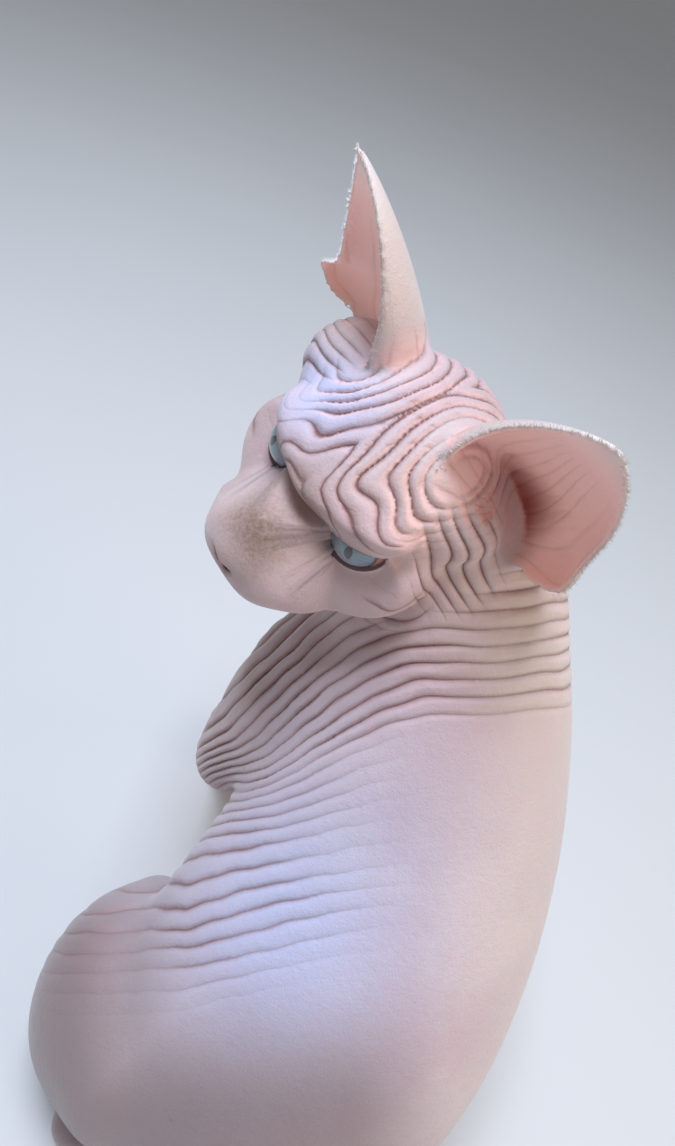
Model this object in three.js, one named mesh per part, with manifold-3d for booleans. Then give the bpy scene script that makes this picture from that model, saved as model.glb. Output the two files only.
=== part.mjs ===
// A sphynx cat sitting upright with its head turned back over its left shoulder, life size, in millimetres.
// The cat's body faces -Y, its left side is +X and up is +Z. It rests on the plane z = 0.
import * as THREE from 'three';
import { mergeVertices } from 'three/addons/utils/BufferGeometryUtils.js';
import Module from 'manifold-3d';

const wasm = await Module();
wasm.setup();

// Driving dimensions
const GAP = 0.3;            // the thin cut between neighbouring body parts
const FLOOR_CUT = 1.6;      // how much of each sole is planed off to make its small flat
const RING = 9;             // sides of a limb's section
const TRUNK_RING = 16;      // sides of the trunk's section
const BLEND = 0.35;         // how sharply the head's forms meet, per millimetre
const REACH = 90;           // furthest that the head's surface is looked for from its middle
const HALVINGS = 22;        // steps in looking for it
const EYE_RADIUS = 10.6;    // eyeball
const EYE_CENTRE = [16.4, 9.5, 1.5];  // an eyeball's middle: to the side, to the back and up in the head
const EAR_HEIGHT = 66;      // base to tip
const EAR_WIDTH = 25;       // half the ear's greatest width
const EAR_DEPTH = 17;       // depth of the ear's cup
const EAR_WALL = 2.4;       // thickness of the ear's back
const EAR_LOBE_LEFT = 0.22; // how far the lobe widens the left ear's outer half, and the right ear's
const EAR_LOBE_RIGHT = 0.95;
const EAR_FUNNEL = 0.24;    // share of its height over which the ear widens from its root
const EAR_SUNK = 0.12;      // share of its height by which the root is sunk in the head
const EAR_TURN_LEFT = 0.35; // how far the left ear's opening is turned outwards, and the right ear's
const EAR_TURN_RIGHT = 0.43;
const CLAW_RADIUS = 1.3;

// The head's own frame has its origin midway between the eyes, x to its left, y to its back and z to its crown.
const HEAD_AT = new THREE.Vector3(56, -8, 271);
const HEAD_FORWARD = new THREE.Vector3(0.586, 0.77, -0.245).normalize();
const HEAD_LEFT = new THREE.Vector3(-0.808, 0.539, -0.24);

// Skin, iris and claw colours
const PINK = 0xd8aeb0;
const PALE_PINK = 0xe2c1bd;
const EAR_PINK = 0xe0a79c;
const IRIS_BLUE = 0x8fb3bf;
const CLAW_HORN = 0xd9cfc0;

const headUp = new THREE.Vector3().crossVectors(HEAD_FORWARD, HEAD_LEFT).normalize();
const headLeft = new THREE.Vector3().crossVectors(headUp, HEAD_FORWARD).normalize();
const headBack = HEAD_FORWARD.clone().negate();
const HEAD = new THREE.Matrix4().makeBasis(headLeft, headBack, headUp).setPosition(HEAD_AT);

// Turns a closed three.js geometry into a solid.
function solid(geometry) {
  const bare = geometry.clone();
  bare.deleteAttribute('normal');
  bare.deleteAttribute('uv');
  const merged = mergeVertices(bare, 1e-4);
  const triVerts = new Uint32Array(merged.index.array);
  const vertProperties = new Float32Array(merged.attributes.position.array);
  return new wasm.Manifold(new wasm.Mesh({ numProp: 3, vertProperties, triVerts }));
}

// A solid swept through sections: place(u, angle) gives the surface point at u from 0 to 1 along the form.
function sweep(place, sides, steps) {
  const geometry = new THREE.CylinderGeometry(1, 1, 1, sides, steps);
  const position = geometry.attributes.position;
  for (let i = 0; i < position.count; i += 1) {
    const radius = Math.hypot(position.getX(i), position.getZ(i));
    const u = position.getY(i) + 0.5;
    const angle = Math.atan2(position.getX(i), position.getZ(i));
    const point = place(u, angle, radius);
    position.setXYZ(i, point.x, point.y, point.z);
  }
  const body = solid(geometry);
  return body.volume() < 0 ? solid(flipped(geometry)) : body;
}

function flipped(geometry) {
  const index = geometry.index.array;
  for (let i = 0; i < index.length; i += 3) {
    [index[i], index[i + 1]] = [index[i + 1], index[i]];
  }
  return geometry;
}

// Smooth value through equally spaced numbers, for radii along a limb.
function through(values, u) {
  const last = values.length - 1;
  const at = Math.min(Math.max(u, 0), 1) * last;
  const i = Math.min(Math.floor(at), last - 1);
  const t = at - i;
  const [p0, p1, p2, p3] = [values[Math.max(i - 1, 0)], values[i], values[i + 1], values[Math.min(i + 2, last)]];
  return 0.5 * (2 * p1 + (p2 - p0) * t + (2 * p0 - 5 * p1 + 4 * p2 - p3) * t * t
    + (3 * p1 - p0 - 3 * p2 + p3) * t * t * t);
}

// A limb: an elliptic section carried through stations of [x, y, z, half width, half thickness], with round ends.
// The half width lies along the side vector, the half thickness across it.
function limb(stations, sides = RING, steps = 20, side = new THREE.Vector3(1, 0, 0)) {
  const curve = new THREE.CatmullRomCurve3(stations.map((s) => new THREE.Vector3(s[0], s[1], s[2])));
  const wide = stations.map((s) => s[3]);
  const thick = stations.map((s) => s[4]);
  const END = 0.16;
  return sweep((u, angle, radius) => {
    const inner = (u - END) / (1 - 2 * END);
    const along = Math.min(Math.max(inner, 0), 1);
    const beyond = inner < 0 ? (END - u) / END : inner > 1 ? (u - 1 + END) / END : 0;
    const lean = Math.min(beyond, 1) * Math.PI / 2;
    const centre = curve.getPoint(along);
    const tangent = curve.getTangent(along);
    const across = side.clone().addScaledVector(tangent, -side.dot(tangent)).normalize();
    const out = new THREE.Vector3().crossVectors(tangent, across);
    const a = through(wide, along);
    const b = through(thick, along);
    const push = Math.sin(lean) * Math.min(a, b) * (inner < 0 ? -1 : 1);
    const size = Math.cos(lean) * (radius < 0.5 ? 0 : 1);
    return centre.clone().addScaledVector(tangent, push)
      .addScaledVector(across, Math.cos(angle) * a * size)
      .addScaledVector(out, Math.sin(angle) * b * size);
  }, sides, steps);
}

function ball(x, y, z, rx, ry, rz, sides = 20) {
  const geometry = new THREE.SphereGeometry(1, sides, Math.round(sides * 0.6));
  geometry.scale(rx, ry, rz);
  geometry.translate(x, y, z);
  return solid(geometry);
}

// A box given by its lowest and highest corners, in the frame of a matrix.
function block(low, high, matrix = new THREE.Matrix4()) {
  const geometry = new THREE.BoxGeometry(high[0] - low[0], high[1] - low[1], high[2] - low[2]);
  geometry.translate((high[0] + low[0]) / 2, (high[1] + low[1]) / 2, (high[2] + low[2]) / 2);
  geometry.applyMatrix4(matrix);
  return solid(geometry);
}

function joined(pieces) {
  return pieces.reduce((sum, piece) => sum.add(piece));
}

function moved(piece, matrix) {
  const e = matrix.elements;
  return piece.transform([...e]);
}

// Distance to an ellipsoid, near its surface: form is [x, y, z, rx, ry, rz].
function ellipsoidDistance(p, form) {
  const q = [(p.x - form[0]) / form[3], (p.y - form[1]) / form[4], (p.z - form[2]) / form[5]];
  const far = Math.hypot(q[0], q[1], q[2]) + 1e-9;
  const slope = Math.hypot(q[0] / form[3], q[1] / form[4], q[2] / form[5]) + 1e-9;
  return far * (far - 1) / slope;
}

// One smooth form from many ellipsoids: a sphere whose points are pushed out along their rays to where the
// blended distance is zero. Each hollow [x, y, z, depth, spread] presses the surface in around its point.
function blended(centre, forms, hollows, sides, rows) {
  const geometry = new THREE.SphereGeometry(1, sides, rows);
  geometry.rotateX(Math.PI / 2);
  const position = geometry.attributes.position;
  const p = new THREE.Vector3();
  const ray = new THREE.Vector3();
  for (let i = 0; i < position.count; i += 1) {
    ray.fromBufferAttribute(position, i).normalize();
    let near = 0;
    let far = REACH;
    for (let step = 0; step < HALVINGS; step += 1) {
      const middle = (near + far) / 2;
      p.copy(centre).addScaledVector(ray, middle);
      const sum = forms.reduce((total, form) => total + Math.exp(-BLEND * ellipsoidDistance(p, form)), 0);
      const pressed = hollows.reduce((total, [x, y, z, depth, spread]) => total
        + depth * Math.exp(-((p.x - x) ** 2 + (p.y - y) ** 2 + (p.z - z) ** 2) / spread ** 2), 0);
      if (-Math.log(sum + 1e-12) / BLEND + pressed < 0) {
        near = middle;
      } else {
        far = middle;
      }
    }
    position.setXYZ(i, centre.x + ray.x * near, centre.y + ray.y * near, centre.z + ray.z * near);
  }
  return solid(geometry);
}

// Trunk and neck, from the rump up to the nape: the back leans about 47 degrees, bowed to the cat's right.
const trunk = limb([
  [0, 100, 36, 36, 30],
  [-2, 88, 56, 60, 46],
  [-7, 70, 80, 69, 52],
  [-14, 49, 106, 70, 53],
  [-18, 27, 132, 66, 52],
  [-18, 6, 158, 60, 51],
  [-14, -13, 183, 54, 50],
  [-8, -29, 207, 48, 45],
  [-2, -38, 228, 42, 39],
], TRUNK_RING, 12);
const neck = limb([
  [-5, -28, 206, 42, 40],
  [-2, -35, 226, 40, 38],
  [7, -41, 246, 38, 35],
  [19, -42, 264, 34, 32],
  [30, -36, 276, 30, 28],
], TRUNK_RING, 8);
const brisket = ball(-2, -56, 176, 32, 26, 42);

// Head, in its own frame
const headForms = [
  [0, 34, 5, 32, 34, 27],        // braincase
  [0, 13, 5, 24, 22, 17],        // forehead
  [0, 9, -8, 27, 24, 18],        // face
  [0, -11, -13, 15, 14, 11],     // muzzle
  [0, -8, -3, 9, 16, 7],         // bridge of the nose
  [0, -21, -11, 7, 6, 6],        // nose
  [0, -14, -24, 10, 9, 7],       // chin
  [0, 8, -23, 20, 22, 11],       // lower jaw
];
const headHollows = [];
for (const hand of [-1, 1]) {
  headForms.push([hand * 8.5, -16, -17, 9.5, 10, 8]);      // whisker pad
  headForms.push([hand * 25, 14, -11, 15, 19, 13]);        // cheekbone
  headForms.push([hand * 18, 7, 9, 13, 13, 8]);            // brow
  headForms.push([hand * 31, 38, 7, 15, 16, 15]);          // root of the ear
  headHollows.push([hand * 13, -4, -3, 2.5, 8]);           // inner corner of the eye
}
const head = moved(blended(new THREE.Vector3(0, 16, -6), headForms, headHollows, 22, 15), HEAD);

// An ear is a cup whose section is an arc, open at the front and closing to a funnel at its root. Its outer
// margin swells into a lobe low down. hand is 1 for the left ear; u runs from the root to the tip.
function earSolid(hand) {
  const root = new THREE.Vector3(hand * 31, 43, 8);
  const tip = hand > 0 ? new THREE.Vector3(46, 37, 69) : new THREE.Vector3(-53, 34, 68);
  const axis = tip.clone().sub(root).normalize();
  const opening = new THREE.Vector3(hand > 0 ? EAR_TURN_LEFT : -EAR_TURN_RIGHT, -1, 0);
  opening.addScaledVector(axis, -opening.dot(axis)).normalize();
  const width = new THREE.Vector3().crossVectors(axis, opening);
  const body = sweep((u, angle, radius) => {
    const t = Math.min(u, 0.999);
    const closing = Math.min(1, t / EAR_FUNNEL);
    const spread = (1 - t) ** 0.8 * (1 + 1.25 * t) * (0.4 + 0.6 * closing * (2 - closing));
    const arc = (0.68 - 0.24 * t) * Math.PI;
    const inside = Math.abs(angle) > Math.PI / 2;
    const s = inside ? Math.sign(angle) * (2 - Math.abs(angle) * 2 / Math.PI) : angle * 2 / Math.PI;
    const wall = EAR_WALL * (0.55 + 0.45 * Math.cos(s * Math.PI / 2)) * (1 - 0.6 * t);
    const shrink = inside ? wall : 0;
    const theta = s * arc;
    const swell = hand > 0 ? EAR_LOBE_LEFT : EAR_LOBE_RIGHT;
    const lobe = 1 + swell * Math.max(0, s * hand) * Math.exp(-(((t - 0.18) / 0.17) ** 2));
    const across = (EAR_WIDTH * spread * lobe - shrink) * Math.sin(theta);
    const depth = (EAR_DEPTH * spread * (1 - 0.35 * t) - shrink) * -Math.cos(theta);
    const centre = root.clone().addScaledVector(axis, EAR_HEIGHT * (t * (1 + EAR_SUNK) - EAR_SUNK));
    if (radius < 0.5) {
      return centre.addScaledVector(opening, -(EAR_DEPTH * spread * (1 - 0.35 * t) - wall / 2));
    }
    return centre.addScaledVector(width, across).addScaledVector(opening, depth);
  }, 16, 7);
  return moved(body, HEAD);
}

// Forelegs, straight down from the shoulders; the left elbow stands out past the flank.
function foreleg(hand, shoulder, elbow, wrist, paw) {
  return joined([
    limb([
      [shoulder[0] * 0.75, shoulder[1] + 8, shoulder[2] + 12, 18, 26],
      [shoulder[0], shoulder[1], shoulder[2] - 8, 21, 30],
      [(shoulder[0] + elbow[0]) / 2, (shoulder[1] + elbow[1]) / 2 + 2, (shoulder[2] + elbow[2]) / 2, 19, 27],
      [elbow[0], elbow[1], elbow[2], 16, 20],
    ], RING, 9),
    limb([
      [elbow[0], elbow[1] + 2, elbow[2] + 4, 15, 18],
      [elbow[0] * 0.7 + wrist[0] * 0.3, elbow[1] * 0.7 + wrist[1] * 0.3, elbow[2] * 0.7 + wrist[2] * 0.3, 14, 16],
      [elbow[0] * 0.3 + wrist[0] * 0.7, elbow[1] * 0.3 + wrist[1] * 0.7, elbow[2] * 0.3 + wrist[2] * 0.7, 11, 12],
      [wrist[0], wrist[1], wrist[2], 10.5, 11],
      [paw[0], paw[1] + 14, 15, 12, 12],
    ], RING, 9),
    pawSolid(paw, 10.5),
  ]);
}

// A paw: a pad with four toes fanned in front of it.
const TOES = [-1.5, -0.5, 0.5, 1.5];
function toeAt(paw, place) {
  return [paw[0] + place * 7.6, paw[1] - 9 + place ** 2 * 2.2, 9];
}
function pawSolid(paw, pad) {
  const parts = [ball(paw[0], paw[1] + 4, 10.5, 14, 17, pad, 7)];
  for (const place of TOES) {
    const [x, y, z] = toeAt(paw, place);
    parts.push(ball(x, y, z, 5.2, 9, 7.4, 5));
  }
  return joined(parts);
}

const LEFT_FORE = [[38, -24, 186], [53, -16, 120], [56, -66, 36], [56, -88]];
const RIGHT_FORE = [[-44, -24, 186], [-52, -20, 120], [-46, -62, 34], [-44, -80]];
const LEFT_HIND = [58, 24];
const RIGHT_HIND = [-50, 24];

// A hind leg folded for sitting: the thigh lies against the flank and the whole foot is on the floor.
function hindleg(hand, paw) {
  const x = 5 + hand * 52;
  return joined([
    limb([
      [5 + hand * 36, 94, 70, 26, 35],
      [x + hand * 2, 76, 64, 29, 43],
      [x + hand * 3, 53, 54, 26, 36],
      [x, 31, 44, 17, 23],
    ], RING, 9),
    limb([
      [x, 36, 42, 14, 17],
      [x, 66, 32, 14, 18],
      [x - hand * 3, 98, 17, 11, 14],
    ], 8, 7),
    limb([
      [x - hand * 4, 106, 13, 10, 11],
      [x - hand * 2, 78, 11, 10, 10],
      [paw[0], paw[1] + 14, 11, 12, 10],
    ], 8, 7),
    pawSolid(paw, 10),
  ]);
}

// The tail lies on the floor and curls round behind the cat to its right.
const tail = limb([
  [3, 112, 34, 15, 15],
  [0, 134, 18, 11, 11],
  [-10, 156, 9.5, 8.5, 8.5],
  [-34, 172, 8, 7.4, 7.4],
  [-64, 174, 7, 6.4, 6.4],
  [-92, 160, 6.4, 5.6, 5.6],
  [-112, 136, 5.8, 4.8, 4.8],
  [-122, 108, 5, 3.8, 3.8],
], 8, 24, new THREE.Vector3(0, 0, 1));

let flesh = joined([
  trunk, neck, brisket, head,
  foreleg(1, ...LEFT_FORE), foreleg(-1, ...RIGHT_FORE),
  hindleg(1, LEFT_HIND), hindleg(-1, RIGHT_HIND),
  tail,
]);
// The soles are planed to one level, and the whole cat is let down to z = 0.
const BIG = 600;
flesh = flesh.intersect(block([-BIG, -BIG, FLOOR_CUT], [BIG, BIG, BIG]));
const DOWN = new THREE.Matrix4().makeTranslation(0, 0, -FLOOR_CUT);

const nodes = [];
function keep(name, piece, color, roughness = 0.55) {
  nodes.push({ name, piece, color, roughness });
}

// Ears stand on the head; each is one piece with its own cup.
const ears = { left: earSolid(1), right: earSolid(-1) };

// An eyeball's middle in the head's frame
function eyeCentre(hand) {
  return new THREE.Vector3(hand * EYE_CENTRE[0], EYE_CENTRE[1], EYE_CENTRE[2]);
}

// The opening between the lids: an ellipsoid on the eye's line of sight, long from the inner to the outer corner.
const LID_OUT = 12;  // how far out along the sight the opening is centred
function lidOpening(hand) {
  const sight = new THREE.Vector3(hand * 0.36, -0.88, 0.3).normalize();
  const corner = new THREE.Vector3(hand * 0.9, 0.42, 0.16);
  corner.addScaledVector(sight, -corner.dot(sight)).normalize();
  const lift = new THREE.Vector3().crossVectors(sight, corner);
  const opening = new THREE.Matrix4().makeBasis(corner, sight, lift.multiplyScalar(hand > 0 ? 1 : -1));
  if (opening.determinant() < 0) {
    opening.makeBasis(corner.negate(), sight, lift);
  }
  opening.setPosition(eyeCentre(hand).addScaledVector(sight, LID_OUT));
  return moved(ball(0, 0, 0, 9.5, 10, 5.4, 12), HEAD.clone().multiply(opening));
}

// Eyeballs in their sockets
const EYE_SIDES = 12;
for (const [side, hand] of [['left', 1], ['right', -1]]) {
  const centre = eyeCentre(hand).applyMatrix4(HEAD);
  const eye = ball(centre.x, centre.y, centre.z, EYE_RADIUS, EYE_RADIUS, EYE_RADIUS, EYE_SIDES);
  const room = EYE_RADIUS + GAP;
  const socket = ball(centre.x, centre.y, centre.z, room, room, room, EYE_SIDES);
  keep(`eye_${side}`, eye, IRIS_BLUE, 0.1);
  flesh = flesh.subtract(socket).subtract(lidOpening(hand));
}

// Claws in their sheaths, on every toe
const PAWS = [
  ['forepaw_left', LEFT_FORE[3]], ['forepaw_right', RIGHT_FORE[3]],
  ['hindpaw_left', LEFT_HIND], ['hindpaw_right', RIGHT_HIND],
];
function clawSolid(x, y, z, radius) {
  return limb([
    [x, y - 4.6, z, radius, radius],
    [x, y - 8.2, z + 0.4, radius * 0.9, radius],
    [x, y - 10.8, z - 1.2, radius * 0.4, radius * 0.55],
  ], 4, 3);
}
for (const [pawName, paw] of PAWS) {
  TOES.forEach((place, i) => {
    const [x, y, z] = toeAt(paw, place);
    keep(`${pawName}_claw_${i + 1}`, clawSolid(x, y, z, CLAW_RADIUS), CLAW_HORN, 0.35);
    flesh = flesh.subtract(clawSolid(x, y, z, CLAW_RADIUS + GAP));
  });
}

// Ears are freed from the head by their own shape.
for (const ear of Object.values(ears)) {
  flesh = flesh.subtract(ear);
}
for (const [side, ear] of Object.entries(ears)) {
  keep(`ear_${side}`, ear, EAR_PINK);
}

// Takes what lies inside the cutter out of the flesh as a part of its own, leaving the gap all round it.
function part(name, cutter, grown, color = PINK) {
  keep(name, flesh.intersect(cutter), color);
  flesh = flesh.subtract(grown);
}
function boxPart(name, low, high, matrix = new THREE.Matrix4(), color = PINK) {
  const more = (corner, sign) => corner.map((v) => v + sign * GAP);
  part(name, block(low, high, matrix), block(more(low, -1), more(high, 1), matrix), color);
}

boxPart('muzzle', [-40, -60, -60], [40, -8, 4], HEAD, PALE_PINK);
boxPart('head', [-60, -20, -20], [60, 74, 60], HEAD, PALE_PINK);
boxPart('lower_jaw', [-40, -9, -40], [40, 26, -20.3], HEAD, PALE_PINK);
boxPart('neck', [-80, -110, 216], [90, 60, 330]);
boxPart('forepaw_left', [20, -130, -5], [90, -60, 26]);
boxPart('forepaw_right', [-80, -130, -5], [-8, -52, 26]);
boxPart('forearm_left', [30, -130, 26.3], [90, 8, 104]);
boxPart('forearm_right', [-80, -130, 26.3], [-24, 8, 104]);
boxPart('upper_arm_left', [39, -80, 104.3], [90, 12, 210]);
boxPart('upper_arm_right', [-90, -80, 104.3], [-45, 12, 210]);
boxPart('hindpaw_left', [36, -20, -5], [90, 42, 24]);
boxPart('hindpaw_right', [-80, -20, -5], [-26, 42, 24]);
boxPart('hindfoot_left', [38, 42.3, -5], [92, 126, 24]);
boxPart('hindfoot_right', [-82, 42.3, -5], [-28, 126, 24]);
boxPart('thigh_left', [48, -10, 24.3], [100, 130, 124]);
boxPart('thigh_right', [-90, -10, 24.3], [-38, 130, 124]);
boxPart('chest', [-90, -120, 150], [90, 90, 216]);
boxPart('belly', [-90, -120, 92], [90, 130, 149.7]);
boxPart('tail_tip', [-160, 60, -5], [-100, 150, 30]);
boxPart('tail_end', [-100, 100, -5], [-60, 200, 30]);
boxPart('tail_middle', [-59.7, 120, -5], [-14, 200, 30]);
boxPart('tail_root', [-13.7, 126, -5], [30, 180, 60]);
boxPart('rump', [-100, -60, -5], [100, 140, 91.7]);

// The origin is moved to the floor under the middle of the cat's bounding box.
const group = new THREE.Group();
const middle = new THREE.Box3();
for (const { name, piece, color, roughness } of nodes) {
  const whole = moved(piece, DOWN);
  const bodies = whole.decompose().sort((p, q) => q.volume() - p.volume());
  const mesh = bodies[0].getMesh();
  const geometry = new THREE.BufferGeometry();
  geometry.setAttribute('position', new THREE.BufferAttribute(new Float32Array(mesh.vertProperties), 3));
  geometry.setIndex(new THREE.BufferAttribute(new Uint32Array(mesh.triVerts), 1));
  const item = new THREE.Mesh(geometry, new THREE.MeshStandardMaterial({ color, roughness, metalness: 0 }));
  item.name = name;
  group.add(item);
  geometry.computeBoundingBox();
  middle.union(geometry.boundingBox);
}
const centre = middle.getCenter(new THREE.Vector3());
group.position.set(-centre.x, -centre.y, 0);

export default group;
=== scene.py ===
# %% [markdown]
# # A sphynx cat, looking back over its left shoulder
# A hairless cat is nearly all skin: folds on the crown and the neck, soft lids, thin lit ears. The packed
# CAD gives the body's parts at their real size. This lesson grows one continuous skin over them, adds the
# eyes, the claws and the down on the ear rims, and gives each its finish. Shapes are worked out in
# millimetres in the cat's own frame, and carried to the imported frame's metres when a piece is finished.

# %% Load the frame
import bpy
import math
import numpy as np
from mathutils import Matrix, Vector


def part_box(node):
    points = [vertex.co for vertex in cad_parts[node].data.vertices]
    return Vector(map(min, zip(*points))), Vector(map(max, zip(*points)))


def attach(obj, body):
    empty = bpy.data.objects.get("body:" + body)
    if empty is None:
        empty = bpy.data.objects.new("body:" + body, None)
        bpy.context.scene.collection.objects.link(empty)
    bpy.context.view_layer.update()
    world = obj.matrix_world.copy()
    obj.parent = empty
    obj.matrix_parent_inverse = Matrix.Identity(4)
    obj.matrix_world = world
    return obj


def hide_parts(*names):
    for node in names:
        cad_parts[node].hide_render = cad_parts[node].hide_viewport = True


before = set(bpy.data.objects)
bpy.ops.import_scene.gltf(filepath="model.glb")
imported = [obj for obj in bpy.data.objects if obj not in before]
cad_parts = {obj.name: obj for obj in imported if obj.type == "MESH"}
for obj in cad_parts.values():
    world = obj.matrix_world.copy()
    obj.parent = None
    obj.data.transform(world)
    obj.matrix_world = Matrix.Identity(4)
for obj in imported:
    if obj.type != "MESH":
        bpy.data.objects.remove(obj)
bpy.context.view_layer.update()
MM = 0.001
print("nodes in the frame:", len(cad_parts))

# %% [markdown]
# ## The head's frame
# The head is turned some 140 degrees over the left shoulder, so it gets a frame of its own: origin on the
# bridge of the nose between the eyes, x to its left, y to its back, z to its crown. The frame's left eye
# tells how far the CAD's origin lies from the point on the floor that the sizes below are counted from.

# %% Head frame
HEAD_AT = np.array([56.0, -8.0, 271.0])
HEAD_FORWARD = np.array([0.586, 0.77, -0.245])
HEAD_LEFT = np.array([-0.808, 0.539, -0.24])
EYE_RADIUS = 10.6
EYE_CENTRE = np.array([16.4, 9.5, 1.5])


def unit(v):
    """A vector, or rows of vectors, brought to length one."""
    return v / (np.linalg.norm(v, axis=-1, keepdims=True) + 1e-12)


HEAD_FORWARD = unit(HEAD_FORWARD)
head_up = unit(np.cross(HEAD_FORWARD, HEAD_LEFT))
head_left = unit(np.cross(head_up, HEAD_FORWARD))
HEAD_TURN = np.stack([head_left, -HEAD_FORWARD, head_up], axis=1)


def from_head(p):
    """Head-frame points carried to the cat's frame: turned, then moved to the place between the eyes."""
    return np.asarray(p, float) @ HEAD_TURN.T + HEAD_AT


def to_head(p):
    """The way back: a point less the head's place, turned by the transposed matrix."""
    return (np.asarray(p, float) - HEAD_AT) @ HEAD_TURN


eye_low, eye_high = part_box("eye_left")
SHIFT = (np.array(eye_low) + np.array(eye_high)) / 2 / MM - from_head(EYE_CENTRE)
print("shift to the frame's origin, mm:", SHIFT.round(2))


def to_frame(p):
    """Millimetres in the cat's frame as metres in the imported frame."""
    return (np.asarray(p, float) + SHIFT) * MM


# %% [markdown]
# ## Camera
# The photo looks down on the cat from behind. Straight lines in the room gave the lens and the tilt: a wide
# lens, held about 42 cm above the seat and 24 cm from the head, rolled by some 22 degrees. A camera object
# takes the same lens, place and turn, so the render can be laid over the photo.

# %% Camera
CAMERA_AT = np.array([40.0, 173.0, 421.0])
CAMERA_RIGHT = np.array([-0.9236, -0.2634, 0.2780])
CAMERA_UP = np.array([0.3829, -0.6351, 0.6705])
SENSOR = 36.0
FOCAL_PIXELS, PHOTO_HEIGHT, PHOTO_MIDDLE = 800.0, 1146.0, (337.5, 573.0)
camera = bpy.data.objects.new("camera", bpy.data.cameras.new("camera"))
bpy.context.scene.collection.objects.link(camera)
camera.data.sensor_width = SENSOR
camera.data.lens = SENSOR * FOCAL_PIXELS / PHOTO_HEIGHT
camera.data.clip_start = 0.01
right = Vector(CAMERA_RIGHT).normalized()
up = Vector(CAMERA_UP)
up = (up - right * up.dot(right)).normalized()
camera.matrix_world = Matrix.Translation(to_frame(CAMERA_AT)) @ Matrix(
    (right, up, right.cross(up))).transposed().to_4x4()
bpy.context.scene.camera = camera
print("camera lens:", round(camera.data.lens, 2), "mm")

# %% [markdown]
# ## Floor and light
# A plain pale floor. The photo's light is cool and comes from high on the cat's left, and warm light is
# thrown back from its right. Two soft lamps give that, and a pale sky fills the shadows. One strong lamp
# would be simpler, but its hard shadows would hide the shallow folds.

# %% Floor and light


def mesh_object(name, points, faces):
    """A mesh object from arrays of points (metres) and of faces."""
    mesh = bpy.data.meshes.new(name)
    faces = faces.tolist() if isinstance(faces, np.ndarray) else faces
    mesh.from_pydata(np.asarray(points).tolist(), [], faces)
    mesh.update()
    piece = bpy.data.objects.new(name, mesh)
    bpy.context.scene.collection.objects.link(piece)
    return piece


FLOOR_HALF = 12.0
floor = mesh_object("floor", [(-FLOOR_HALF, -FLOOR_HALF, 0), (FLOOR_HALF, -FLOOR_HALF, 0),
                              (FLOOR_HALF, FLOOR_HALF, 0), (-FLOOR_HALF, FLOOR_HALF, 0)], [(0, 1, 2, 3)])


def soft_lamp(name, place, aim, size, power, color):
    """A square area lamp at place, facing aim."""
    lamp = bpy.data.objects.new(name, bpy.data.lights.new(name, "AREA"))
    lamp.data.size = size
    lamp.data.energy = power
    lamp.data.color = color
    lamp.location = place
    lamp.rotation_euler = (Vector(aim) - Vector(place)).to_track_quat("-Z", "Y").to_euler()
    bpy.context.scene.collection.objects.link(lamp)


CAT_MIDDLE = (0, 0, 0.18)
soft_lamp("window", (0.25, 0.0, 1.45), CAT_MIDDLE, 0.5, 20, (0.74, 0.83, 1.0))
soft_lamp("bounce", (-1.15, 0.3, 0.6), CAT_MIDDLE, 0.7, 6, (1.0, 0.88, 0.74))
world = bpy.data.worlds.new("sky")
bpy.context.scene.world = world
world.use_nodes = True
world.node_tree.nodes["Background"].inputs["Color"].default_value = (0.86, 0.88, 0.92, 1)
world.node_tree.nodes["Background"].inputs["Strength"].default_value = 0.27
bpy.context.scene.view_settings.view_transform = "Standard"

# %% [markdown]
# ## Body forms
# Each part of the body is an elliptic section carried along a smooth line, as a sculptor blocks out limbs.
# The same stations as the CAD's are used, so the skin lies where the solids are.

# %% Limbs


def through(values, u):
    """Smooth (Catmull-Rom) value through equally spaced rows of numbers, at u from 0 to 1."""
    values = np.asarray(values, float)
    last = len(values) - 1
    at = np.clip(u, 0, 1) * last
    i = np.minimum(at.astype(int), last - 1)
    t = (at - i)[:, None]
    p0, p1 = values[np.maximum(i - 1, 0)], values[i]
    p2, p3 = values[i + 1], values[np.minimum(i + 2, last)]
    return 0.5 * (2 * p1 + (p2 - p0) * t + (2 * p0 - 5 * p1 + 4 * p2 - p3) * t * t
                  + (3 * p1 - p0 - 3 * p2 + p3) * t ** 3)


def limb(stations, sides=40, steps=60, side=(1.0, 0.0, 0.0)):
    """Rows of stations x, y, z, half width, half thickness become a closed tube with round ends. Along the
    tube the centre and both radii follow one smooth curve. In the last steps at each end the section shrinks
    as a cosine while its centre moves on by a sine, which makes a round cap."""
    end_steps = 8
    u = np.concatenate([np.zeros(end_steps), np.linspace(0, 1, steps), np.ones(end_steps)])
    lean = np.concatenate([np.linspace(-0.99, 0, end_steps, endpoint=False), np.zeros(steps),
                           np.linspace(0.99, 0, end_steps, endpoint=False)[::-1]]) * math.pi / 2
    rows = through(stations, u)
    small = 1e-3
    tangent = unit(through(stations, np.clip(u + small, 0, 1))[:, :3]
                   - through(stations, np.clip(u - small, 0, 1))[:, :3])
    side = np.asarray(side, float)
    across = unit(side - tangent * (tangent @ side)[:, None])
    out = np.cross(tangent, across)
    a, b = rows[:, 3], rows[:, 4]
    centre = rows[:, :3] + tangent * (np.sin(lean) * np.minimum(a, b))[:, None]
    size = np.cos(lean)[:, None, None]
    turn = np.linspace(0, 2 * math.pi, sides, endpoint=False)[None, :, None]
    return (centre[:, None] + across[:, None] * np.cos(turn) * a[:, None, None] * size
            + out[:, None] * np.sin(turn) * b[:, None, None] * size)


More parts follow.
